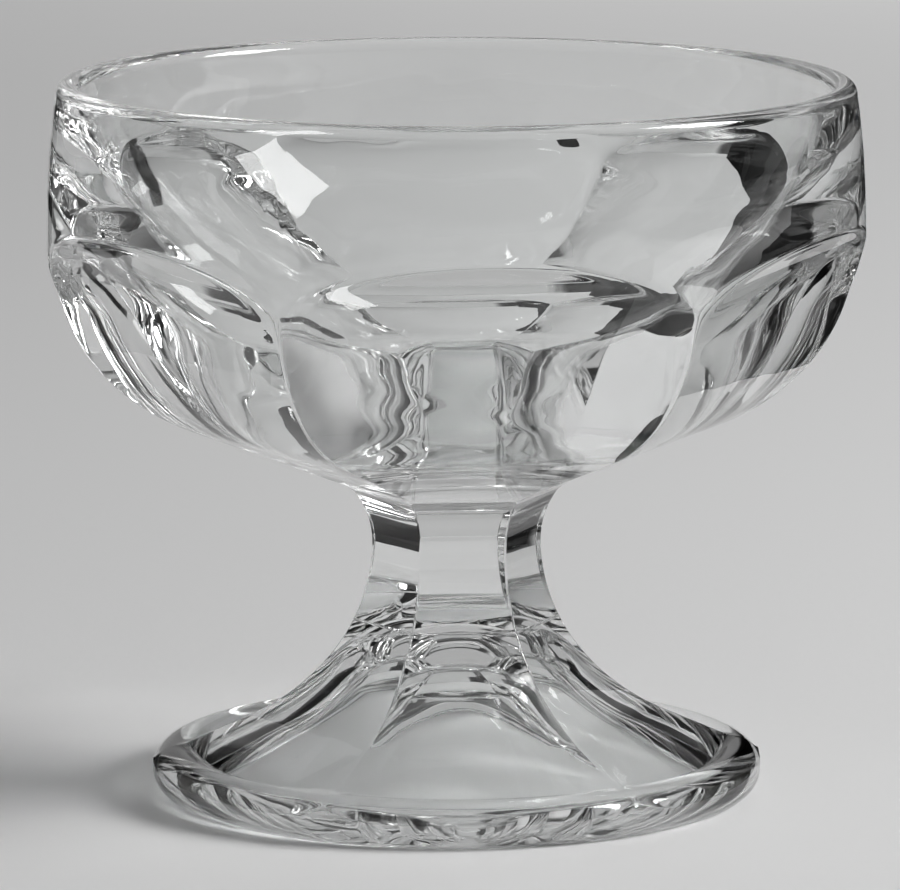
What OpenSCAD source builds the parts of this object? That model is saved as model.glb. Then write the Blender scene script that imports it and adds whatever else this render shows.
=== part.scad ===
// Footed sherbet glass in clear pressed glass. A round, arch-panelled bowl stands on
// a six-sided stem that sweeps out into a six-panelled, bead-edged hollow foot.
// The three pressings meet face to face at two flat hot-glass seams.

/* [Whole glass] */
// height from the table to the top of the rim
height = 83.5; // [82:0.1:85]
// flat panels round the bowl, stem and foot
panels = 6; // [6:2:8]

/* [Bowl band] */
// greatest diameter, at the belly of the smooth band
belly_d = 95; // [94:0.1:97]
// distance from the top of the rim down to the belly
belly_drop = 18; // [16.5:0.1:19.5]
// long upright curve from the belly up to the rim
band_r = 120; // [90:1:180]
// shorter curve that turns the band in below the belly
tuck_r = 26; // [22:0.5:34]
// wall at the rim, rounded over by fire polish
rim_wall = 2.95; // [2.4:0.05:3.4]

/* [Bowl panels] */
// how far the middle of a panel stands in from the flat that the belly circle could hold
panel_in = 0.64; // [0.4:0.02:1]
// rounded side of each panel, seen in profile
side_r = 22.6; // [22:0.1:23.2]
// distance from the top of the rim down to the centre of that curve
side_drop = 20.1; // [19.7:0.1:20.5]
// hollow curve under each arch
cove_r = 17.1; // [15:0.1:19]
// angle below level at which the side passes into the cove
cove_turn = 14.8; // [13:0.1:16]
// angle below level at which the side passes into the straight underside
under_turn = 67; // [65:0.5:69]

/* [Bowl inside] */
// depth of the bowl from the top of the rim to its flat floor
bowl_depth = 40; // [38.5:0.1:41]
// curve between the floor and the round wall
floor_r = 18; // [12:0.5:20]

/* [Stem] */
// width across two flat sides at the waist
waist_w = 17.2; // [16:0.1:19]
// how far the waist lies below the point where the panel undersides would meet
waist_drop = 1.87; // [1:0.01:3]
// hollow curve from the waist up to the bowl
collar_r = 11; // [10:0.1:13]
// angle below level on the foot's sweep at which the seam between stem and foot lies
seam_turn = 23.15; // [20:0.05:27]

/* [Foot] */
// greatest diameter, round the bead
foot_d = 71.2; // [70:0.1:74]
// fall of the straight skirt below level, from the sweep out to the bead
skirt_fall = 26.5; // [25:0.1:28]
// round of the bead at the edge
bead_r = 2.85; // [2.6:0.05:3.1]
// how much of that round is ground away to a flat rest
rest_cut = 0.2; // [0.1:0.05:0.4]
// glass left between the top of the hollow and the seam
dome_wall = 2; // [1.8:0.1:4]
// fall of the bell's straight edge below level, out to the resting ring
bell_fall = 30; // [28:0.5:31]
// height of the bell's lowest edge
bell_lip = 0.4; // [0.3:0.05:0.8]
// how much larger the bell's curve is than the sweep over it
bell_wall = 3; // [2.6:0.1:3.6]
// width left to stand on inside the bead's centre line
rest_w = 1.6; // [1.2:0.1:2.4]

/* [Hidden] */
$fn = 180;

clear_glass = [0.86, 0.9, 0.9, 0.45];
turn = 360 / panels;
flat_share = cos(turn / 2);
belly_r = belly_d / 2;
spare = 4;
lap = 2;
reach = belly_d;
// hair by which one curve runs past the next, so that the edge between them is a clean crossing
hair = 0.02;

rim_r = rim_wall / 2 + hair;
rim_z = height - rim_r;
belly_z = height - belly_drop;
rim_out = belly_r - band_r + sqrt(pow(band_r, 2) - pow(rim_z - belly_z, 2));
inner_r = rim_out - rim_wall;
tuck_c = [belly_r - tuck_r + hair, belly_z];

side_c = [belly_r * flat_share - panel_in - side_r, height - side_drop];
cove_dir = [cos(cove_turn), -sin(cove_turn)];
under_dir = [cos(under_turn), -sin(under_turn)];
side_low = side_c + (side_r - hair) * under_dir;
cove_c = side_c + (side_r - hair + cove_r) * cove_dir;
cove_w = 2 * (belly_r + spare) * tan(turn / 2);
fold_z = side_c[1] - (side_r - hair) * sin(cove_turn);

// the floor's corner curve sits inside the round wall and on the floor
floor_z = height - bowl_depth;
corner_z = floor_z + floor_r - hair;
corner_x = sqrt(pow(inner_r - floor_r + hair, 2) - pow(rim_z - corner_z, 2));
corner_c = [corner_x, corner_z];
corner_dir = (corner_c - [0, rim_z]) / norm(corner_c - [0, rim_z]);

waist_x = waist_w / 2;
waist_z = side_low[1] - side_low[0] / tan(under_turn) - waist_drop;
collar_c = [waist_x + collar_r, waist_z];

// the underside runs in straight until it meets the collar curve: that is the upper seam
under_run = [under_dir[1], -under_dir[0]];
to_collar = collar_c - side_low;
seam_run = to_collar * under_run + sqrt(pow(collar_r, 2) - pow(to_collar * under_dir, 2));
upper_seam = side_low + seam_run * under_run;

// the sweep runs from the waist into a straight skirt that ends at the bead's crown on every ridge
bead_c = [foot_d / 2 - bead_r, bead_r - rest_cut];
ridge_sink = 0.1;
ridge_end = [bead_c[0] * flat_share, bead_c[1] + bead_r - ridge_sink];
skirt_run = [cos(skirt_fall), -sin(skirt_fall)];
skirt_up = [sin(skirt_fall), cos(skirt_fall)];
sweep_r = (([waist_x, waist_z] - ridge_end) * skirt_up + hair) / (1 - skirt_up[0]);
sweep_c = [waist_x + sweep_r, waist_z];
sweep_low = sweep_c - (sweep_r - hair) * skirt_up;
skirt_top = sweep_low + sqrt(pow(sweep_r, 2) - pow(sweep_r - hair, 2)) * skirt_run;
skirt_end = sweep_low + reach * skirt_run;
seam_z = waist_z - sweep_r * sin(seam_turn);

// the bell rises straight from the resting ring, then curves up under the sweep
rest_in = bead_c[0] - rest_w;
bell_r = sweep_r + bell_wall;
bell_hug = bell_r - hair;
bell_up = [sin(bell_fall), cos(bell_fall)];
bell_c = [rest_in + (bell_hug - (waist_z - bell_lip) * bell_up[1]) / bell_up[0], waist_z];
bell_low = bell_c - bell_hug * bell_up;

// the dome sits on the axis and runs into the bell
dome_top = seam_z - dome_wall;
dome_gap = waist_z - dome_top;
dome_r = (pow(bell_c[0], 2) + pow(dome_gap, 2) - pow(bell_hug, 2)) / (2 * (bell_hug - dome_gap));
dome_z = dome_top - dome_r;
dome_low = dome_z + dome_r * (waist_z - dome_z) / (dome_r + bell_hug);

// solid whose flat sides all follow the outline given as its children, turned at one level
module flat_sided(level) {
  intersection_for(i = [0 : panels / 2 - 1]) {
    translate([0, 0, level])
      rotate([90, 0, 90 + i * turn])
        linear_extrude(height = 2 * reach, center = true)
          translate([0, -level]) children();
  }
}

// the same shape on the right and the left of an outline
module both_flanks() {
  for (flank = [0, 1])
    mirror([flank, 0]) children();
}

// full width of an outline between two heights
module layer(low, high, half_w) {
  polygon([[-half_w, low], [half_w, low], [half_w, high], [-half_w, high]]);
}

// outline of two facing bowl panels: straight underside, then the round side up into the band
module bowl_outline() {
  difference() {
    layer(upper_seam[1], fold_z + lap, belly_r);
    both_flanks() {
      polygon([upper_seam + spare * under_run, side_low - reach * under_run, [reach, 0], [0, 0]]);
      difference() {
        translate([side_low[0], 0]) square([reach, height]);
        translate(side_c) circle(r = side_r);
      }
    }
  }
}

// half section of the smooth band: tucked in below the belly, nearly upright above it
module band_section() {
  difference() {
    intersection() {
      polygon([[0, fold_z], [reach, fold_z], [reach, height + spare], [0, height + spare]]);
      translate([belly_r - band_r, belly_z]) circle(r = band_r);
    }
    difference() {
      translate([tuck_c[0], 0]) square([reach, belly_z]);
      translate(tuck_c) circle(r = tuck_r);
    }
  }
}

// half section of the space inside the bowl: round wall, curved corner, flat floor
module inside_section() {
  difference() {
    intersection() {
      translate([0, floor_z]) square([reach, reach]);
      translate([0, rim_z]) circle(r = inner_r);
    }
    difference() {
      polygon([
        corner_c,
        [corner_x, floor_z - spare],
        [inner_r, floor_z - spare],
        corner_c + (floor_r + spare) * corner_dir
      ]);
      translate(corner_c) circle(r = floor_r);
    }
  }
}

// half section of what the fire-polished round of the rim leaves off
module off_rim() {
  difference() {
    translate([inner_r - spare, rim_z]) square([reach, reach]);
    translate([rim_out - rim_wall / 2, rim_z]) circle(r = rim_r);
  }
}

// one cutter for the hollow cove under each arch
module coves() {
  for (i = [0 : panels - 1])
    rotate([90, 0, 90 + i * turn])
      translate(cove_c) cylinder(r = cove_r, h = cove_w, center = true);
}

// half outline of a stem side between the two seams
module stem_outline() {
  difference() {
    polygon([[0, seam_z], [sweep_c[0], seam_z], [sweep_c[0], waist_z], [0, waist_z]]);
    translate(sweep_c) circle(r = sweep_r);
  }
  difference() {
    polygon([[0, waist_z], [collar_c[0], waist_z], [collar_c[0], upper_seam[1]], [0, upper_seam[1]]]);
    translate(collar_c) circle(r = collar_r);
  }
}

// outline of two facing foot panels: the sweep, then the straight skirt out to the bead
module foot_outline() {
  difference() {
    layer(bead_c[1] / 2, seam_z, foot_d / 2);
    both_flanks() {
      translate(sweep_c) circle(r = sweep_r);
      polygon([sweep_low, skirt_end, [reach, reach], sweep_c]);
    }
  }
}

// half section of the beaded edge and the flat land it rests on
module bead_section() {
  intersection() {
    square([reach, reach]);
    translate(bead_c) circle(r = bead_r);
  }
  translate([rest_in, 0]) square([rest_w, bead_c[1]]);
}

// half section of the bell-shaped hollow under the foot
module bell_section() {
  difference() {
    polygon([
      [0, -spare],
      [rest_in, -spare],
      [rest_in, bell_lip],
      bell_low,
      [bell_low[0], dome_low],
      [0, dome_low]
    ]);
    translate(bell_c) circle(r = bell_r);
  }
}

module bowl() {
  color(clear_glass)
    difference() {
      union() {
        flat_sided(fold_z) bowl_outline();
        rotate_extrude() band_section();
      }
      coves();
      rotate_extrude() inside_section();
      rotate_extrude() off_rim();
    }
}

module stem() {
  color(clear_glass)
    flat_sided(waist_z) both_flanks() stem_outline();
}

module foot() {
  color(clear_glass)
    difference() {
      union() {
        intersection() {
          flat_sided(skirt_top[1]) foot_outline();
          cylinder(h = seam_z, r = bead_c[0]);
        }
        rotate_extrude() bead_section();
      }
      translate([0, 0, dome_z]) sphere(r = dome_r);
      rotate_extrude() bell_section();
    }
}

bowl();
stem();
foot();
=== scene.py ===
"""Footed sherbet glass in clear pressed glass, with its studio and camera.

Three closed pieces of glass meet at two hot seams: a bowl with arched panels under a smooth
round band, a six-sided stem, and a six-panelled hollow foot with a beaded edge. Sizes of the
glass are in millimetres until a surface goes into its mesh. Sizes of the studio are in metres.
"""
import logging
import math
from dataclasses import dataclass, field
from enum import Enum
from typing import Any, Callable, Optional, Union

import bpy
import numpy as np
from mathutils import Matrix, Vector


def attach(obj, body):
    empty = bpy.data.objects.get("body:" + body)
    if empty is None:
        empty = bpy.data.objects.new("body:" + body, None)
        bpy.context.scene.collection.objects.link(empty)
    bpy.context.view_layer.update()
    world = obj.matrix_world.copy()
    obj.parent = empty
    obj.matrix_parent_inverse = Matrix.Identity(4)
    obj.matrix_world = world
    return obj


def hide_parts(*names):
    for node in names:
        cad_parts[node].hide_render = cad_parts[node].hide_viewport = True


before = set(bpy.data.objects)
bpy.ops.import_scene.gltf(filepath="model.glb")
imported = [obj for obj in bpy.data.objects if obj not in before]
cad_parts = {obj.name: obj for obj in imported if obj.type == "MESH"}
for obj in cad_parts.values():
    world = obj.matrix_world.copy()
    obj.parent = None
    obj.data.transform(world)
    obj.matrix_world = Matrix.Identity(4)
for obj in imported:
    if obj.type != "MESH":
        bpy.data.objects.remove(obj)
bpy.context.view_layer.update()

Pair = tuple[float, float]
Point = tuple[float, float, float]

LOG = logging.getLogger("sherbet_glass")
PHOTO_SIZE = (900, 890)
MM = 0.001
PANELS = 6
HALF_PANEL = math.pi / PANELS
# share of a radius up to which an arc is followed before it turns level
NEARLY_ALL = 0.98
HALVINGS = 40
# reflections inside the glass count as glossy turns, so these get as many as the refractions
LIGHT_TURNS = 32
# height of a dark or grey sheet above the floor it lies on
TABLE_LIFT = 0.001
# places of the colour sockets on a Mix node
MIX_FIRST, MIX_SECOND, MIX_RESULT = 6, 7, 2
WHITE = (1.0, 1.0, 1.0, 1.0)


class Coat(Enum):
    """Material slots of a piece of glass: its polished skin and the fused seam inside."""

    SKIN = 0
    SEAM = 1


class Seen(Enum):
    """Which surfaces a sheet or a lamp of the studio reaches.

    BY_ALL reaches everything, IN_GLASS only what the glass reflects and refracts, and BY_MATT
    only matt surfaces such as the floor.
    """

    BY_ALL = "all"
    IN_GLASS = "glass"
    BY_MATT = "matt"


class Value:
    """A shader socket with arithmetic, so that node maths reads as an expression."""

    def __init__(self, kit: "NodeKit", socket: bpy.types.NodeSocket) -> None:
        self.kit = kit
        self.socket = socket

    def _math(self, operation: str, *operands: Any) -> "Value":
        """Add one Math node.

        Args:
            operation: name of the Math node's operation.
            operands: Values or numbers for the node's inputs, in order.

        Returns:
            The node's result.
        """
        return self.kit.add("ShaderNodeMath", {"operation": operation}, dict(enumerate(operands)))

    def __add__(self, other: Any) -> "Value":
        """Sum."""
        return self._math("ADD", self, other)

    def __radd__(self, other: Any) -> "Value":
        """Sum, with the number first."""
        return self._math("ADD", other, self)

    def __mul__(self, other: Any) -> "Value":
        """Product."""
        return self._math("MULTIPLY", self, other)

    def __abs__(self) -> "Value":
        """Size without its sign."""
        return self._math("ABSOLUTE", self)

    def least(self, other: Any) -> "Value":
        """Lesser of this and another value."""
        return self._math("MINIMUM", self, other)


class NodeKit:
    """Adds nodes to one material's or world's tree."""

    def __init__(self, owner: Union[bpy.types.Material, bpy.types.World]) -> None:
        """Clear the owner's node tree and keep it.

        Args:
            owner: the material or world.
        """
        owner.use_nodes = True
        self.tree = owner.node_tree
        self.tree.nodes.clear()

    def add(self, kind: str, settings: Optional[dict] = None, sockets: Optional[dict] = None,
            output: Union[int, str] = 0) -> Value:
        """Add one node.

        Args:
            kind: node type.
            settings: properties of the node, set first.
            sockets: numbers, colours or Values for the node's inputs, by name or place.
            output: name or place of the output that is wanted.

        Returns:
            The wanted output.
        """
        node = self.tree.nodes.new(kind)
        for name, setting in (settings or {}).items():
            setattr(node, name, setting)
        for name, given in (sockets or {}).items():
            if isinstance(given, Value):
                self.tree.links.new(given.socket, node.inputs[name])
            else:
                node.inputs[name].default_value = given
        return Value(self, node.outputs[output] if node.outputs else None)


def material_of(name: str, paint: Callable[[NodeKit], Value]) -> bpy.types.Material:
    """Make a material.

    Args:
        name: name of the material.
        paint: adds the shader to the material's tree and returns it.

    Returns:
        The material.
    """
    material = bpy.data.materials.new(name)
    kit = NodeKit(material)
    kit.add("ShaderNodeOutputMaterial", None, {"Surface": paint(kit)})
    return material


def put(name: str, data: Any) -> bpy.types.Object:
    """Add an object with its mesh, lamp or camera to the scene.

    Args:
        name: name of the object.
        data: the mesh, lamp or camera.

    Returns:
        The object.
    """
    thing = bpy.data.objects.new(name, data)
    bpy.context.scene.collection.objects.link(thing)
    return thing


def grey(level: float) -> tuple[float, float, float, float]:
    """Colour of an even grey."""
    return (level, level, level, 1.0)


@dataclass(frozen=True)
class PressedGlass:
    """Clear, fire-polished pressed glass with the faint waviness that the mould leaves.

    The skin refracts at one index. Slow noise, drawn out level round the glass, bends its
    normals a little, as chilled glass does, and a finer noise breaks up the polish. The fused
    seam inside is let through unbent.
    """

    tint: Point = (0.985, 0.992, 0.99)
    shade: Point = (0.965, 0.975, 0.972)
    index: float = 1.51
    polish: float = 0.0
    wear: float = 0.012
    wave_size: float = 80.0
    wave_detail: float = 1.0
    wave_depth: float = 0.12
    wave_squeeze: float = 1.8
    chill_size: float = 520.0
    chill_detail: float = 2.0
    chill_depth: float = 0.0016

    def skin(self, kit: NodeKit) -> Value:
        """Add the polished skin.

        Args:
            kit: the material's node tree.

        Returns:
            The shader.
        """
        place = kit.add("ShaderNodeTexCoord", output="Object")
        level = kit.add("ShaderNodeMapping", None,
                        {"Vector": place, "Scale": (1.0, 1.0, self.wave_squeeze)})
        wave = kit.add("ShaderNodeTexNoise", None,
                       {"Vector": level, "Scale": self.wave_size, "Detail": self.wave_detail})
        chill = kit.add("ShaderNodeTexNoise", None,
                        {"Vector": place, "Scale": self.chill_size, "Detail": self.chill_detail})
        relief = wave * self.wave_depth + chill * self.chill_depth
        normal = kit.add("ShaderNodeBump", None,
                         {"Height": relief, "Strength": 1.0, "Distance": MM})
        colour = kit.add("ShaderNodeMix", {"data_type": "RGBA"}, {
            "Factor": wave,
            MIX_FIRST: (*self.tint, 1.0),
            MIX_SECOND: (*self.shade, 1.0),
        }, MIX_RESULT)
        return kit.add("ShaderNodeBsdfPrincipled", None, {
            "Base Color": colour,
            "Roughness": self.polish + chill * self.wear,
            "IOR": self.index,
            "Transmission Weight": 1.0,
            "Normal": normal,
        })

    def seam(self, kit: NodeKit) -> Value:
        """Add the fused seam, which light crosses as if it were not there."""
        return kit.add("ShaderNodeBsdfTransparent", None, {"Color": WHITE})


def soft_least(first: np.ndarray, second: np.ndarray, blend: float) -> np.ndarray:
    """Lesser of two surfaces with a round where they cross.

    Formula: the lesser value, less a quarter of the blend times the square of how far the
    difference falls short of the blend, as a share of it.

    Args:
        first: one surface.
        second: the other surface.
        blend: difference at which the round starts.

    Returns:
        The rounded lesser value.
    """
    share = np.maximum(blend - np.abs(first - second), 0.0) / blend
    return np.minimum(first, second) - share ** 2 * blend / 4


def soft_most(first: np.ndarray, second: np.ndarray, blend: float) -> np.ndarray:
    """Greater of two surfaces with a fillet where they cross: the lesser of both turned over."""
    return -soft_least(-np.asarray(first), -np.asarray(second), blend)


def arc(centre: Pair, radius: float, start: float, end: float, count: int) -> np.ndarray:
    """Points on a circle in the half section.

    Args:
        centre: centre, as distance from the axis and height.
        radius: radius of the circle.
        start: first angle in radians, from the outward level.
        end: last angle.
        count: number of points.

    Returns:
        Points as rows of distance and height.
    """
    turn = np.linspace(start, end, count)
    return np.stack([centre[0] + radius * np.cos(turn), centre[1] + radius * np.sin(turn)], -1)


def close_at_start(count: int, power: float) -> np.ndarray:
    """Shares from 0 to 1 that lie closer together near 0: even shares raised to the power."""
    return np.linspace(0, 1, count) ** power


def close_at_end(count: int, power: float) -> np.ndarray:
    """Shares from 0 to 1 that lie closer together near 1: one less what is left, to the power."""
    return 1 - (1 - np.linspace(0, 1, count)) ** power


def crossing(low: np.ndarray, high: np.ndarray,
             before: Callable[[np.ndarray], np.ndarray]) -> np.ndarray:
    """Place at each column where one surface crosses another.

    Formula: halve the span again and again, and keep the half in which the test changes.

    Args:
        low: places that lie before the crossing.
        high: places that lie past it.
        before: tests whether places lie before the crossing.

    Returns:
        The place of the crossing at each column.
    """
    for _ in range(HALVINGS):
        middle = (low + high) / 2
        short = before(middle)
        low, high = np.where(short, middle, low), np.where(short, high, middle)
    return (low + high) / 2


@dataclass
class Facets:
    """The six flat sides with rounded ridges that bowl, stem and foot share.

    Columns are angles round the axis, drawn together at the ridges. A panel faces -Y.
    """

    flat_columns: int = 30
    ridge_columns: int = 14
    ridge_span: float = math.radians(1.5)
    ridge_round: float = 0.28
    ridge_growth: float = 0.011
    fit_rounds: int = 3
    off: np.ndarray = field(init=False)
    turn: np.ndarray = field(init=False)

    def __post_init__(self) -> None:
        """Lay out the columns: even on the flat, closer on each ridge."""
        flat = np.linspace(-HALF_PANEL + self.ridge_span, HALF_PANEL - self.ridge_span,
                           self.flat_columns)
        ridge = np.linspace(HALF_PANEL - self.ridge_span, HALF_PANEL + self.ridge_span,
                            self.ridge_columns + 1)[1:-1]
        one = np.concatenate([flat, ridge])
        self.turn = np.concatenate([one + 2 * HALF_PANEL * i for i in range(PANELS)])
        self.off = np.abs((self.turn + HALF_PANEL) % (2 * HALF_PANEL) - HALF_PANEL)

    def every(self, values: np.ndarray) -> np.ndarray:
        """Give every column of each row the row's value."""
        return np.repeat(values[:, None], len(self.turn), 1)

    def reach(self, flat: np.ndarray) -> np.ndarray:
        """Distance from the axis of a rounded six-sided section, at each column.

        Formula: on the flat, the flat's distance over the cosine of the angle from its middle.
        On the ridge, the far side of a circle whose centre lies on the ridge of a six-sided
        section smaller by the round.

        Args:
            flat: distance from the axis to the flat.

        Returns:
            Distance from the axis at each column.
        """
        flat, off = np.broadcast_arrays(np.asarray(flat, float), self.off)
        soft = self.ridge_round + self.ridge_growth * flat
        inner = flat - soft
        side = inner * math.tan(HALF_PANEL)
        on_flat = flat * np.tan(off) <= side
        corner = inner / math.cos(HALF_PANEL)
        away = HALF_PANEL - off
        under = np.maximum(soft ** 2 - (corner * np.sin(away)) ** 2, 0.0)
        return np.where(on_flat, flat / np.cos(off), corner * np.cos(away) + np.sqrt(under))

    def flat_at(self, reach: np.ndarray) -> np.ndarray:
        """Distance of the flat whose section passes through given points.

        Formula: start from the plain flat, then in each round add the remaining shortfall
        times the cosine of the angle.

        Args:
            reach: distance from the axis at each column.

        Returns:
            Distance from the axis to the flat.
        """
        cosine = np.cos(self.off)
        flat = reach * cosine
        for _ in range(self.fit_rounds):
            flat = flat + (reach - self.reach(flat)) * cosine
        return flat


FACETS = Facets()


@dataclass
class GlassPiece:
    """One closed piece of glass, made of rows that run round the axis from top to bottom."""

    name: str
    node: str
    slot: str
    glass: PressedGlass = field(default_factory=PressedGlass)

    def rows(self) -> tuple[np.ndarray, np.ndarray]:
        """Distances from the axis and heights of all rows, as two arrays of rows by columns."""
        raise NotImplementedError

    def seams(self) -> tuple[bool, bool]:
        """Whether the fan at the first row and the fan at the last row are fused seams."""
        raise NotImplementedError

    def points(self) -> np.ndarray:
        """Place all rows, and after them one point on the axis for each end.

        Formula: a point at distance r and angle t lies at r times sine t, minus r times
        cosine t, and its height.

        Returns:
            The points, in metres.
        """
        reach, height = self.rows()
        turn = FACETS.turn
        rows = np.stack([reach * np.sin(turn), -reach * np.cos(turn), height], -1).reshape(-1, 3)
        poles = np.array([[0.0, 0.0, height[0].mean()], [0.0, 0.0, height[-1].mean()]])
        return np.concatenate([rows, poles]) * MM

    def faces(self, poles: int) -> tuple[list, np.ndarray]:
        """Join each row to the next by quads, and each end row to its point on the axis.

        Args:
            poles: number of the first of the two points on the axis.

        Returns:
            The faces, and for each of them whether it is a fused seam.
        """
        around = len(FACETS.turn)
        here = np.arange(around)
        after = (here + 1) % around
        last = poles - around
        start = np.arange(0, last, around)[:, None]
        quads = np.stack([start + here, start + around + here,
                          start + around + after, start + after], -1).reshape(-1, 4)
        first_fan = np.stack([np.full(around, poles), here, after], -1)
        last_fan = np.stack([np.full(around, poles + 1), last + after, last + here], -1)
        fused = np.repeat([False, *self.seams()], [len(quads), around, around])
        return [*quads.tolist(), *first_fan.tolist(), *last_fan.tolist()], fused

    def build(self) -> bpy.types.Object:
        """Put the rows into a mesh, dress it and hand it to the shared frame.

        Returns:
            The piece.
        """
        points = self.points()
        faces, fused = self.faces(len(points) - 2)
        mesh = bpy.data.meshes.new(self.name)
        mesh.from_pydata(points, [], faces)
        mesh.polygons.foreach_set("material_index",
                                  np.where(fused, Coat.SEAM.value, Coat.SKIN.value))
        mesh.polygons.foreach_set("use_smooth", ~fused)
        mesh.validate()
        mesh.update()
        mesh.materials.append(material_of(f"{self.slot}_skin", self.glass.skin))
        mesh.materials.append(material_of(f"{self.slot}_seam", self.glass.seam))
        piece = put(self.name, mesh)
        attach(piece, "root")
        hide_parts(self.node)
        LOG.info("%s: %d faces", self.name, len(mesh.polygons))
        return piece


@dataclass(frozen=True)
class Outline:
    """Driving sizes of the glass, and the curves that its pieces hand on to one another.

    Panels, stem and skirt are measured to the middle of a flat side, belly and foot to their
    round. Where two curves touch, one runs past the other by a hair.
    """

    height: float = 83.5
    belly_r: float = 47.5
    panel_in: float = 0.64
    side_drop: float = 20.1
    side_r: float = 22.6
    under_turn: float = math.radians(67)
    waist_x: float = 8.6
    waist_drop: float = 1.87
    collar_r: float = 11.0
    seam_turn: float = math.radians(23.15)
    skirt_turn: float = math.radians(26.5)
    foot_r: float = 35.6
    bead_r: float = 2.85
    rest_cut: float = 0.2
    ridge_sink: float = 0.1
    hair: float = 0.02
    crease_soft: float = 1.1

    @property
    def side_c(self) -> Pair:
        """Centre of the round side of a panel."""
        return (self.belly_r * math.cos(HALF_PANEL) - self.panel_in - self.side_r,
                self.height - self.side_drop)

    @property
    def under_top(self) -> Pair:
        """Point at which the round side passes into the straight underside.

        Returns:
            Distance from the axis and height.
        """
        reach = self.side_r - self.hair
        return (self.side_c[0] + reach * math.cos(self.under_turn),
                self.side_c[1] - reach * math.sin(self.under_turn))

    @property
    def waist_z(self) -> float:
        """Height of the waist, a little below the point where the undersides would meet."""
        x, z = self.under_top
        return z - x / math.tan(self.under_turn) - self.waist_drop

    @property
    def upper_seam(self) -> float:
        """Height of the seam between bowl and stem, where the underside meets the collar.

        Formula: follow the underside inwards to the point nearest to the collar's centre, and
        on by half of the chord that the collar's circle cuts off it.

        Returns:
            The height.
        """
        sine, cosine = math.sin(self.under_turn), math.cos(self.under_turn)
        x = self.waist_x + self.collar_r - self.under_top[0]
        z = self.waist_z - self.under_top[1]
        half_chord = math.sqrt(self.collar_r ** 2 - (x * cosine - z * sine) ** 2)
        return self.under_top[1] - (half_chord - x * sine - z * cosine) * cosine

    @property
    def bead_c(self) -> Pair:
        """Centre of the bead's round."""
        return self.foot_r - self.bead_r, self.bead_r - self.rest_cut

    @property
    def sweep_r(self) -> float:
        """Radius of the sweep, which leaves the waist upright and runs into the skirt.

        Formula: the skirt's line ends at the crown of the bead on every ridge. The radius is
        the distance of the waist from that line over one less the sine of the skirt's fall.

        Returns:
            The radius.
        """
        sine, cosine = math.sin(self.skirt_turn), math.cos(self.skirt_turn)
        ridge_x = self.bead_c[0] * math.cos(HALF_PANEL)
        ridge_z = self.bead_c[1] + self.bead_r - self.ridge_sink
        away = (self.waist_x - ridge_x) * sine + (self.waist_z - ridge_z) * cosine
        return (away + self.hair) / (1 - sine)

    @property
    def lower_seam(self) -> float:
        """Height of the seam between stem and foot, on the sweep."""
        return self.waist_z - self.sweep_r * math.sin(self.seam_turn)

    @property
    def skirt_top(self) -> Pair:
        """Point at which the sweep crosses into the straight skirt.

        Formula: from the sweep's centre down to the skirt's line, a hair less than the radius,
        and on along the line by half of the chord that the sweep cuts off it.

        Returns:
            Distance from the axis and height.
        """
        sine, cosine = math.sin(self.skirt_turn), math.cos(self.skirt_turn)
        down = self.sweep_r - self.hair
        half_chord = math.sqrt(self.sweep_r ** 2 - down ** 2)
        return (self.waist_x + self.sweep_r - down * sine + half_chord * cosine,
                self.waist_z - down * cosine - half_chord * sine)

    def collar(self, height: np.ndarray) -> np.ndarray:
        """Flat of the collar: a hollow arc that leaves the waist upright."""
        rise = np.clip(np.asarray(height) - self.waist_z, 0.0, self.collar_r * NEARLY_ALL)
        return self.waist_x + self.collar_r - np.sqrt(self.collar_r ** 2 - rise ** 2)

    def under(self, height: np.ndarray) -> np.ndarray:
        """Flat of the bowl's straight underside."""
        x, z = self.under_top
        return x - (z - np.asarray(height)) * math.tan(self.under_turn)

    def above_waist(self, height: np.ndarray) -> np.ndarray:
        """Flat above the waist: the greater of collar and underside, with a fillet."""
        return soft_most(self.collar(height), self.under(height), self.crease_soft)

    def sweep(self, height: np.ndarray) -> np.ndarray:
        """Flat below the waist: a hollow arc that sweeps out over the foot."""
        fall = np.clip(self.waist_z - np.asarray(height), 0.0, self.sweep_r)
        return self.waist_x + self.sweep_r - np.sqrt(self.sweep_r ** 2 - fall ** 2)


OUTLINE = Outline()


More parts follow.
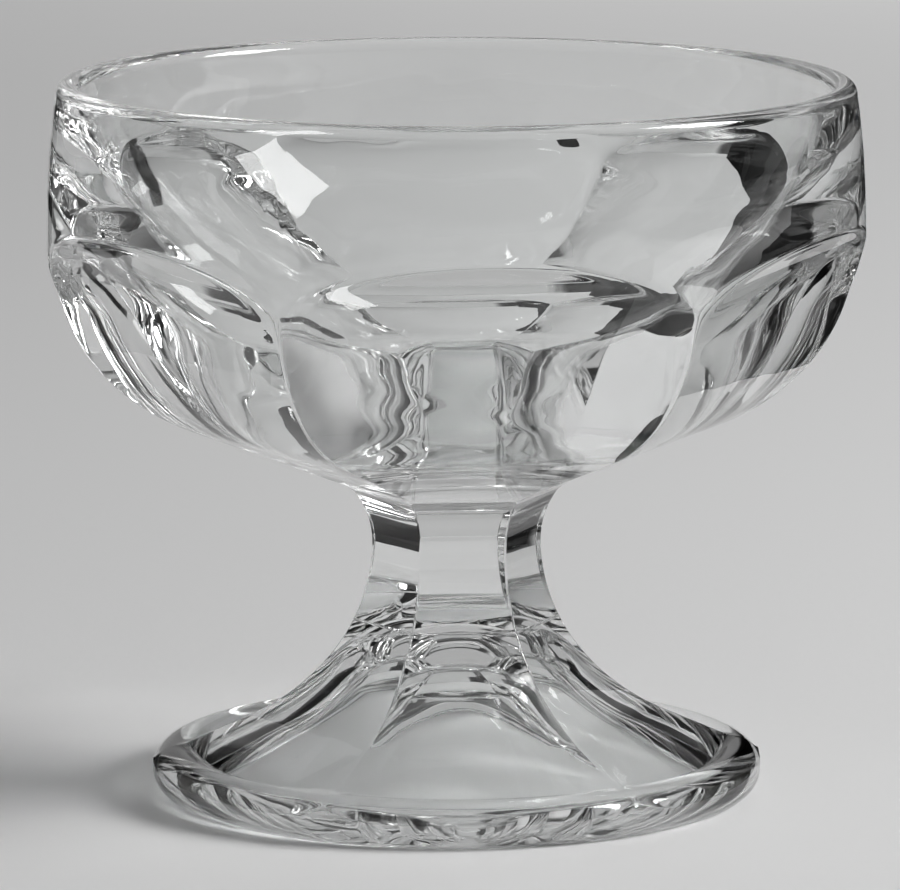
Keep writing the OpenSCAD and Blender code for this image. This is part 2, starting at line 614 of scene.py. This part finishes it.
@dataclass
class Bowl(GlassPiece):
    """Bowl: fire-polished rim, smooth round band, six arched panels, round inside."""

    belly_drop: float = 18.0
    band_r: float = 120.0
    tuck_r: float = 26.0
    rim_wall: float = 2.95
    cove_r: float = 17.1
    cove_turn: float = math.radians(14.8)
    depth: float = 40.0
    floor_r: float = 18.0
    floor_crown: float = 2.0
    arch_soft: float = 0.9
    floor_rows: int = 16
    corner_rows: int = 18
    wall_rows: int = 36
    lip_rows: int = 18
    band_rows: int = 26
    band_crowding: float = 1.6
    cove_rows: int = 24
    cove_crowding: float = 1.5
    side_rows: int = 30
    under_rows: int = 26
    under_crowding: float = 1.5

    def band(self, height: np.ndarray) -> np.ndarray:
        """Distance of the smooth band: a long arc above the belly, a shorter one below it.

        Args:
            height: heights at which the band is wanted.

        Returns:
            Distance from the axis to the band.
        """
        belly_r = OUTLINE.belly_r
        off = np.asarray(height) - (OUTLINE.height - self.belly_drop)
        above = belly_r - self.band_r + np.sqrt(self.band_r ** 2 - off ** 2)
        low = np.sqrt(np.maximum(self.tuck_r ** 2 - np.minimum(off, 0.0) ** 2, 0.0))
        return np.where(off > 0, above, belly_r - self.tuck_r + low)

    @property
    def rim_rise(self) -> float:
        """Rise of the round over the rim."""
        return self.rim_wall / 2 + OUTLINE.hair

    @property
    def rim_z(self) -> float:
        """Height at which the band passes into the rim."""
        return OUTLINE.height - self.rim_rise

    @property
    def rim_out(self) -> float:
        """Distance of the band where it passes into the rim."""
        return float(self.band(self.rim_z))

    @property
    def cove_c(self) -> Pair:
        """Centre of the cove, on the line through the side's centre where they touch.

        Returns:
            Distance from the axis and height.
        """
        span = OUTLINE.side_r + self.cove_r
        return (OUTLINE.side_c[0] + span * math.cos(self.cove_turn),
                OUTLINE.side_c[1] - span * math.sin(self.cove_turn))

    @property
    def fold_z(self) -> float:
        """Height at which the round side passes into the cove."""
        return OUTLINE.side_c[1] - OUTLINE.side_r * math.sin(self.cove_turn)

    def panel(self, height: np.ndarray) -> np.ndarray:
        """Flat of the panel: straight underside, round side, then the hollow cove.

        Args:
            height: heights at which the flat is wanted.

        Returns:
            Distance from the axis to the flat.
        """
        height = np.asarray(height)
        side_c, cove_c = OUTLINE.side_c, self.cove_c
        side = side_c[0] + np.sqrt(np.maximum(
            OUTLINE.side_r ** 2 - (height - side_c[1]) ** 2, 0.0))
        cove = cove_c[0] - np.sqrt(np.maximum(
            self.cove_r ** 2 - (height - cove_c[1]) ** 2, 0.0))
        upper = np.where(height > self.fold_z, cove, side)
        return np.where(height < OUTLINE.under_top[1], OUTLINE.above_waist(height), upper)

    def arch(self) -> np.ndarray:
        """Height of the arch line at each column, where the cove runs out through the band.

        Returns:
            The heights, between the fold and the top of the cove.
        """
        low = np.full(FACETS.off.shape, self.fold_z)
        high = np.full(FACETS.off.shape, self.cove_c[1] + self.cove_r * NEARLY_ALL)
        return crossing(low, high, lambda z: FACETS.reach(self.panel(z)) < self.band(z))

    def outside(self, height: np.ndarray) -> np.ndarray:
        """Distance of the outside: the lesser of band and panels, rounded along the arch."""
        return soft_least(self.band(height), FACETS.reach(self.panel(height)), self.arch_soft)

    def inside(self) -> np.ndarray:
        """Half section of the inside, from the middle of the floor up to the rim.

        Formula: the floor rises to its crown by one less the square of the share of the way
        out to the corner, then come the corner's arc and the wall's arc, which touch.

        Returns:
            Points as rows of distance and height.
        """
        wall_r = self.rim_out - self.rim_wall
        floor_z = OUTLINE.height - self.depth
        corner_z = floor_z + self.floor_r
        corner_x = math.sqrt((wall_r - self.floor_r) ** 2 - (self.rim_z - corner_z) ** 2)
        touch = math.atan2(corner_z - self.rim_z, corner_x)
        share = np.linspace(0, 1, self.floor_rows)[1:]
        floor = np.stack([corner_x * share, floor_z + self.floor_crown * (1 - share ** 2)], -1)
        corner = arc((corner_x, corner_z), self.floor_r, -math.pi / 2, touch, self.corner_rows)
        wall = arc((0.0, self.rim_z), wall_r, touch, 0.0, self.wall_rows)
        return np.concatenate([floor, corner[1:], wall[1:]])

    def lip(self) -> np.ndarray:
        """Half section of the round over the rim, from the inside out to the band.

        Returns:
            Points as rows of distance and height.
        """
        middle = self.rim_out - self.rim_wall / 2
        over = np.linspace(math.pi, 0.0, self.lip_rows)[1:-1]
        return np.stack([middle + self.rim_wall / 2 * np.cos(over),
                         self.rim_z + self.rim_rise * np.sin(over)], -1)

    def rows(self) -> tuple[np.ndarray, np.ndarray]:
        """Rows from the floor up the inside, over the rim, down the band and the panels.

        Returns:
            Distances from the axis and heights.
        """
        inner = np.concatenate([self.inside(), self.lip()])
        arch = self.arch()
        band_z = self.rim_z + (arch - self.rim_z) * close_at_end(
            self.band_rows, self.band_crowding)[:, None]
        cove_z = arch + (self.fold_z - arch) * close_at_start(
            self.cove_rows, self.cove_crowding)[1:, None]
        turn = np.linspace(self.cove_turn, OUTLINE.under_turn, self.side_rows)[1:]
        side_z = OUTLINE.side_c[1] - OUTLINE.side_r * np.sin(turn)
        left = (1 - np.linspace(0, 1, self.under_rows)[1:]) ** self.under_crowding
        under_z = OUTLINE.upper_seam + (OUTLINE.under_top[1] - OUTLINE.upper_seam) * left
        low_z = FACETS.every(np.concatenate([side_z, under_z]))
        outer_z = np.concatenate([band_z, cove_z, low_z])
        return (np.concatenate([FACETS.every(inner[:, 0]), self.outside(outer_z)]),
                np.concatenate([FACETS.every(inner[:, 1]), outer_z]))

    def seams(self) -> tuple[bool, bool]:
        """Only the underside is fused, to the stem."""
        return False, True


@dataclass
class Stem(GlassPiece):
    """Slim six-sided stem, hollow-curved from the bowl to the foot."""

    half_rows: int = 30

    def rows(self) -> tuple[np.ndarray, np.ndarray]:
        """Rows from the upper seam past the waist to the lower seam.

        Returns:
            Distances from the axis and heights.
        """
        share = (1 - np.cos(np.linspace(0, math.pi, self.half_rows))) / 2
        upper = OUTLINE.upper_seam + (OUTLINE.waist_z - OUTLINE.upper_seam) * share
        lower = OUTLINE.waist_z + (OUTLINE.lower_seam - OUTLINE.waist_z) * share[1:]
        flat = np.concatenate([OUTLINE.above_waist(upper), OUTLINE.sweep(lower)])
        return FACETS.reach(flat[:, None]), FACETS.every(np.concatenate([upper, lower]))

    def seams(self) -> tuple[bool, bool]:
        """Both ends are fused."""
        return True, True


@dataclass
class Foot(GlassPiece):
    """Six-panelled foot that sweeps out to a round bead, with a bell-shaped hollow below."""

    bead_drop: float = 4.0
    rest_w: float = 1.6
    bell_fall: float = math.radians(30)
    bell_lip: float = 0.4
    bell_wall: float = 3.0
    dome_wall: float = 2.0
    crease_soft: float = 0.5
    rest_round: float = 0.3
    sweep_rows: int = 40
    skirt_rows: int = 30
    skirt_crowding: float = 1.7
    bead_rows: int = 44
    bead_crowding: float = 1.4
    rest_rows: int = 5
    edge_rows: int = 7
    cone_rows: int = 16
    bell_rows: int = 40
    dome_rows: int = 20

    @property
    def rest_in(self) -> float:
        """Inner edge of the ring that the foot rests on."""
        return OUTLINE.bead_c[0] - self.rest_w

    def skirt(self, flat: np.ndarray) -> np.ndarray:
        """Height of the straight skirt above a flat's distance from the axis."""
        x, z = OUTLINE.skirt_top
        return z - (flat - x) * math.tan(OUTLINE.skirt_turn)

    def bead(self, reach: np.ndarray) -> np.ndarray:
        """Height of the top of the bead, which drops away steeply inside its own round.

        Args:
            reach: distances from the axis.

        Returns:
            The heights.
        """
        off = np.asarray(reach) - OUTLINE.bead_c[0]
        top = np.sqrt(np.maximum(OUTLINE.bead_r ** 2 - off ** 2, 0.0))
        return OUTLINE.bead_c[1] + top - self.bead_drop * np.maximum(-off - OUTLINE.bead_r, 0.0)

    def crease(self) -> np.ndarray:
        """Flat's distance at which the skirt meets the bead, at each column.

        Returns:
            The distances, between the skirt's top and the bead's crown.
        """
        low = np.full(FACETS.off.shape, OUTLINE.skirt_top[0])
        high = FACETS.flat_at(np.full(FACETS.off.shape, OUTLINE.bead_c[0]))
        return crossing(low, high, lambda x: self.skirt(x) > self.bead(FACETS.reach(x)))

    def hollow(self) -> np.ndarray:
        """Half section under the foot, from the bead's rest up through the bell to the dome.

        Formula: a flat rest, a small round, the bell's straight edge, its arc about a centre
        outside the foot, and the dome's arc about the axis, which touches the bell.

        Returns:
            Points as rows of distance and height.
        """
        soft = self.rest_round
        rest_out = OUTLINE.bead_c[0] + math.sqrt(OUTLINE.bead_r ** 2 - OUTLINE.bead_c[1] ** 2)
        rest_x = np.linspace(rest_out, self.rest_in + soft, self.rest_rows)
        rest = np.stack([rest_x, np.zeros(self.rest_rows)], -1)
        edge = arc((self.rest_in + soft, soft), soft, -math.pi / 2, -math.pi, self.edge_rows)
        lip = np.array([self.rest_in, self.bell_lip])
        fall = self.bell_fall
        bell_r = OUTLINE.sweep_r + self.bell_wall
        bell_rise = (OUTLINE.waist_z - self.bell_lip) * math.cos(fall)
        bell_x = self.rest_in + (bell_r - bell_rise) / math.sin(fall)
        top = OUTLINE.lower_seam - self.dome_wall
        gap = OUTLINE.waist_z - top
        dome_r = (bell_x ** 2 + gap ** 2 - bell_r ** 2) / (2 * (bell_r - gap))
        touch = math.atan2(gap + dome_r, bell_x)
        bell = arc((bell_x, OUTLINE.waist_z), bell_r, -math.pi / 2 - fall, touch - math.pi,
                   self.bell_rows)
        cone = lip + (bell[:1] - lip) * np.linspace(0, 1, self.cone_rows)[:-1, None]
        dome = arc((0.0, top - dome_r), dome_r, touch, math.pi / 2, self.dome_rows)
        return np.concatenate([rest, edge[1:], cone, bell, dome[1:-1]])

    def rows(self) -> tuple[np.ndarray, np.ndarray]:
        """Rows from the lower seam down the sweep and skirt, over the bead, into the hollow.

        Returns:
            Distances from the axis and heights.
        """
        sweep_z = np.linspace(OUTLINE.lower_seam, OUTLINE.skirt_top[1], self.sweep_rows)
        sweep_reach = FACETS.reach(OUTLINE.sweep(sweep_z)[:, None])
        out = close_at_end(self.skirt_rows, self.skirt_crowding)[1:, None]
        skirt_flat = OUTLINE.skirt_top[0] + (self.crease() - OUTLINE.skirt_top[0]) * out
        skirt_reach = FACETS.reach(skirt_flat)
        skirt_z = soft_most(self.skirt(skirt_flat), self.bead(skirt_reach), self.crease_soft)
        off_bead = skirt_reach[-1] - OUTLINE.bead_c[0]
        start = np.arctan2(self.bead(skirt_reach[-1]) - OUTLINE.bead_c[1], off_bead)
        end = -math.asin(OUTLINE.bead_c[1] / OUTLINE.bead_r)
        over = close_at_start(self.bead_rows, self.bead_crowding)[1:-1, None]
        turn = start + (end - start) * over
        bead_reach = OUTLINE.bead_c[0] + OUTLINE.bead_r * np.cos(turn)
        bead_z = OUTLINE.bead_c[1] + OUTLINE.bead_r * np.sin(turn)
        on_top = turn > 0
        skirt_there = np.where(on_top, self.skirt(FACETS.flat_at(bead_reach)), -OUTLINE.bead_r)
        bead_z = np.where(on_top, soft_most(skirt_there, bead_z, self.crease_soft), bead_z)
        hollow = self.hollow()
        return (np.concatenate([sweep_reach, skirt_reach, bead_reach, FACETS.every(hollow[:, 0])]),
                np.concatenate([FACETS.every(sweep_z), skirt_z, bead_z, FACETS.every(hollow[:, 1])]))

    def seams(self) -> tuple[bool, bool]:
        """Only the top is fused, to the stem."""
        return True, False


def on_table(*places: Pair) -> tuple[Point, ...]:
    """Corners of a sheet that lies on the floor."""
    return tuple((x, y, TABLE_LIFT) for x, y in places)


def only_in_glass(thing: bpy.types.Object) -> None:
    """Keep an object from the camera, from matt surfaces and from casting shadows.

    Args:
        thing: a sheet or card of the studio.
    """
    thing.visible_camera = False
    thing.visible_diffuse = False
    thing.visible_shadow = False


@dataclass(frozen=True)
class Sheet:
    """A flat matt sheet of the studio: corners in metres, its grey and what meets it.

    A sheet that is seen only in the glass is a flag or a reflector: it neither hides the glass
    from a camera nor shades the floor.
    """

    name: str
    corners: tuple[Point, ...]
    grey: float
    glow: float = 0.0
    seen: Seen = Seen.IN_GLASS

    def paint(self, kit: NodeKit) -> Value:
        """Add the sheet's grey: lit by the lamps, or even where the sheet glows.

        Args:
            kit: the material's node tree.

        Returns:
            The shader.
        """
        if self.glow > 0:
            return kit.add("ShaderNodeEmission", None,
                           {"Color": grey(self.grey), "Strength": self.glow})
        return kit.add("ShaderNodeBsdfDiffuse", None, {"Color": grey(self.grey)})

    def build(self) -> bpy.types.Object:
        """Lay the sheet or put it up.

        Returns:
            The sheet.
        """
        mesh = bpy.data.meshes.new(self.name)
        mesh.from_pydata(self.corners, [], [tuple(range(len(self.corners)))])
        mesh.materials.append(material_of(self.name, self.paint))
        sheet = put(self.name, mesh)
        if self.seen is Seen.IN_GLASS:
            only_in_glass(sheet)
        return sheet


@dataclass(frozen=True)
class Hung:
    """Something flat that hangs round the glass and faces it.

    Its bearing and rise are in degrees, its distance, width and height in metres.
    """

    name: str
    bearing: float
    rise: float
    away: float
    width: float
    tall: float
    bright: float
    aim: Point = (0.0, 0.0, 0.045)

    def hang(self, data: Any) -> bpy.types.Object:
        """Put a mesh or a lamp in its place, turned to its aim.

        Formula: it lies at its distance from the aim along its bearing, turned from straight
        behind the glass towards the right, and its rise above level.

        Args:
            data: the mesh or lamp, which looks along -Z.

        Returns:
            The object.
        """
        bearing, rise = math.radians(self.bearing), math.radians(self.rise)
        way = Vector((math.sin(bearing) * math.cos(rise), math.cos(bearing) * math.cos(rise),
                      math.sin(rise)))
        thing = put(self.name, data)
        thing.location = Vector(self.aim) + way * self.away
        thing.rotation_euler = way.to_track_quat("Z", "Y").to_euler()
        return thing


@dataclass(frozen=True)
class Card(Hung):
    """A flag or a glowing card: a card that glows at one brightness, soft at its edges, seen in the
    glass.
    """

    soft: float = 0.35

    def fade(self, kit: NodeKit, place: Value, half: float) -> Value:
        """Share of the card that is left, from one inside down to nothing at the edge.

        Args:
            kit: the card's node tree.
            place: distance from the middle along one side.
            half: half of that side.

        Returns:
            The share.
        """
        return kit.add("ShaderNodeMapRange", {"interpolation_type": "SMOOTHSTEP"}, {
            "Value": abs(place),
            "From Min": half * (1 - self.soft),
            "From Max": half,
            "To Min": 1.0,
            "To Max": 0.0,
        })

    def paint(self, kit: NodeKit) -> Value:
        """Add the card's brightness, which fades to clear at the edges.

        Args:
            kit: the card's node tree.

        Returns:
            The shader.
        """
        even = kit.add("ShaderNodeEmission", None, {"Color": grey(self.bright), "Strength": 1.0})
        clear = kit.add("ShaderNodeBsdfTransparent")
        place = kit.add("ShaderNodeTexCoord", output="Object")
        fade = [self.fade(kit, kit.add("ShaderNodeSeparateXYZ", None, {0: place}, axis), side / 2)
                for axis, side in (("X", self.width), ("Y", self.tall))]
        return kit.add("ShaderNodeMixShader", None, {0: fade[0] * fade[1], 1: clear, 2: even})

    def build(self) -> bpy.types.Object:
        """Hang the card.

        Returns:
            The card.
        """
        x, y = self.width / 2, self.tall / 2
        mesh = bpy.data.meshes.new(self.name)
        mesh.from_pydata([(-x, -y, 0), (x, -y, 0), (x, y, 0), (-x, y, 0)], [], [(0, 1, 2, 3)])
        mesh.materials.append(material_of(self.name, self.paint))
        card = self.hang(mesh)
        only_in_glass(card)
        return card


@dataclass(frozen=True)
class Softbox(Hung):
    """A soft lamp that faces the glass, or the floor under or behind it.

    Its spread is the angle over which it shines. A lamp that shades nothing stands in for light
    that the clear glass lets through to the floor.
    """

    seen: Seen = Seen.BY_ALL
    spread: float = math.pi
    shades: bool = True

    def build(self) -> bpy.types.Object:
        """Hang the lamp. Its power is its brightness times its area times pi.

        Returns:
            The lamp, hidden from the camera.
        """
        lamp = bpy.data.lights.new(self.name, "AREA")
        lamp.shape = "RECTANGLE"
        lamp.size = self.width
        lamp.size_y = self.tall
        lamp.spread = self.spread
        lamp.use_shadow = self.shades
        lamp.energy = self.bright * self.width * self.tall * math.pi
        holder = self.hang(lamp)
        holder.visible_camera = False
        holder.visible_diffuse = self.seen is not Seen.IN_GLASS
        holder.visible_glossy = self.seen is not Seen.BY_MATT
        holder.visible_transmission = self.seen is not Seen.BY_MATT
        return holder


@dataclass
class Studio:
    """Pale floor, soft lamps, and the flags and glowing cards that draw the edges of the glass.

    The room is one brightness to the camera (pale), one to matt surfaces (ambient) and a dimmer
    one to the glass (room).
    """

    ambient: float = 0.19
    pale: float = 0.62
    room: float = 0.05
    sheets: tuple[Sheet, ...] = (
        Sheet("floor", ((-4, -4, 0), (4, -4, 0), (4, 4, 0), (-4, 4, 0)), 0.72, seen=Seen.BY_ALL),
        Sheet("backdrop", ((-0.66, 1.8, 0), (0.6, 1.8, 0), (0.6, 1.8, 1.3), (-0.66, 1.8, 1.3)),
              0.46, glow=1.0),
        Sheet("right_table", on_table((0.06, -0.04), (0.7, -0.04), (0.9, 0.15), (2.0, 0.4),
                                      (2.0, 1.75), (0.55, 1.75), (0.19, 0.57), (0.071, 0.0)),
              0.008),
        Sheet("right_side_flag", ((0.071, 0.0, 0.0), (0.19, 0.57, 0.0), (0.19, 0.57, 0.21),
                                  (0.071, 0.0, 0.04)), 0.008),
        Sheet("left_near_table", on_table((-0.085, 0.0), (-0.36, 1.0), (-0.9, 1.0),
                                          (-0.28, 0.2), (-0.28, 0.0)), 0.34),
        Sheet("left_table", on_table((-2.0, 0.3), (-0.28, 0.13), (-0.28, 0.2), (-0.9, 1.0),
                                     (-2.0, 1.0)), 0.01),
    )
    cards: tuple[Card, ...] = (
        Card("front_flag", 180.0, 30.0, 1.5, 3.0, 1.4, 0.03),
        Card("left_flag", -37.0, 27.0, 1.0, 0.46, 0.75, 0.01),
        Card("left_low_flag", -37.5, 0.0, 0.114, 0.022, 0.12, 0.005),
        Card("ceiling", 15.0, 74.0, 1.1, 1.9, 1.5, 0.42),
        Card("far_left_flag", -98.0, 38.0, 1.0, 1.6, 1.0, 0.01, soft=0.2),
        Card("right_low_flag", 48.0, 6.0, 1.0, 1.5, 0.44, 0.005, soft=0.12),
        # this card glows by its own emission: painted light for the bright patch that the glass
        # shows to the right behind it
        Card("right_glow_card", 50.0, 26.0, 1.1, 0.85, 0.75, 0.62),
    )
    lamps: tuple[Softbox, ...] = (
        Softbox("key_softbox", 100.0, 27.0, 1.2, 0.6, 0.4, 24.5, seen=Seen.BY_MATT),
        Softbox("right_softbox", 103.0, 38.0, 0.75, 0.28, 0.3, 19.0, seen=Seen.IN_GLASS),
        Softbox("background_softbox", 0.0, 90.0, 0.55, 0.3, 0.3, 8.0, aim=(0.35, 1.25, 0.0),
                seen=Seen.BY_MATT),
        Softbox("foot_light", 0.0, 90.0, 0.25, 0.042, 0.042, 6.0, aim=(0.0, 0.0, 0.0),
                seen=Seen.BY_MATT, spread=math.radians(4), shades=False),
    )

    def build(self) -> None:
        """Lay the floor, put up flags and lamps, and set the room."""
        for part in (*self.sheets, *self.cards, *self.lamps):
            part.build()
            LOG.info("stage: %s", part.name)
        world = bpy.data.worlds.new("room")
        bpy.context.scene.world = world
        kit = NodeKit(world)
        camera = kit.add("ShaderNodeLightPath", output="Is Camera Ray")
        matt = kit.add("ShaderNodeLightPath", output="Diffuse Depth").least(1.0)
        level = self.room + camera * (self.pale - self.room) + matt * (self.ambient - self.room)
        light = kit.add("ShaderNodeBackground", None, {"Color": WHITE, "Strength": level})
        kit.add("ShaderNodeOutputWorld", None, {"Surface": light})


@dataclass
class Viewpoint:
    """Camera at the photo's viewing angle: a long lens a little above the rim.

    Its distance, height and sensor are in millimetres, its pitch and turn in radians, and the
    farthest it sees in metres.
    """

    away: float = 853.0
    height: float = 182.16
    pitch: float = 0.1644
    turn: float = math.radians(4.9)
    focal_px: float = 7421.7
    middle_px: float = 456.53
    sensor: float = 36.0
    farthest: float = 10.0

    def build(self) -> bpy.types.Object:
        """Make the camera and hand it to the scene.

        Returns:
            The camera.
        """
        lens = bpy.data.cameras.new("camera")
        lens.sensor_width = self.sensor
        lens.lens = self.focal_px / PHOTO_SIZE[0] * self.sensor
        lens.shift_x = (PHOTO_SIZE[0] / 2 - self.middle_px) / PHOTO_SIZE[0]
        lens.clip_end = self.farthest
        camera = put("camera", lens)
        camera.location = (-self.away * math.sin(self.turn) * MM,
                           -self.away * math.cos(self.turn) * MM, self.height * MM)
        camera.rotation_euler = (math.pi / 2 - self.pitch, 0.0, -self.turn)
        bpy.context.scene.camera = camera
        return camera


def main() -> None:
    """Build the glass from the bowl down, then the studio and the camera."""
    logging.basicConfig(level=logging.INFO, format="%(name)s: %(message)s")
    bpy.context.scene.view_settings.view_transform = "Standard"
    bpy.context.scene.cycles.max_bounces = LIGHT_TURNS
    bpy.context.scene.cycles.transmission_bounces = LIGHT_TURNS
    bpy.context.scene.cycles.glossy_bounces = LIGHT_TURNS
    bpy.context.scene.cycles.blur_glossy = 0.0
    for piece in (Bowl("bowl_glass", "bowl", "bowl_glass"),
                  Stem("stem_glass", "stem", "stem_glass"),
                  Foot("foot_glass", "foot", "foot_glass")):
        piece.build()
    Studio().build()
    Viewpoint().build()


if __name__ == "__main__":
    main()
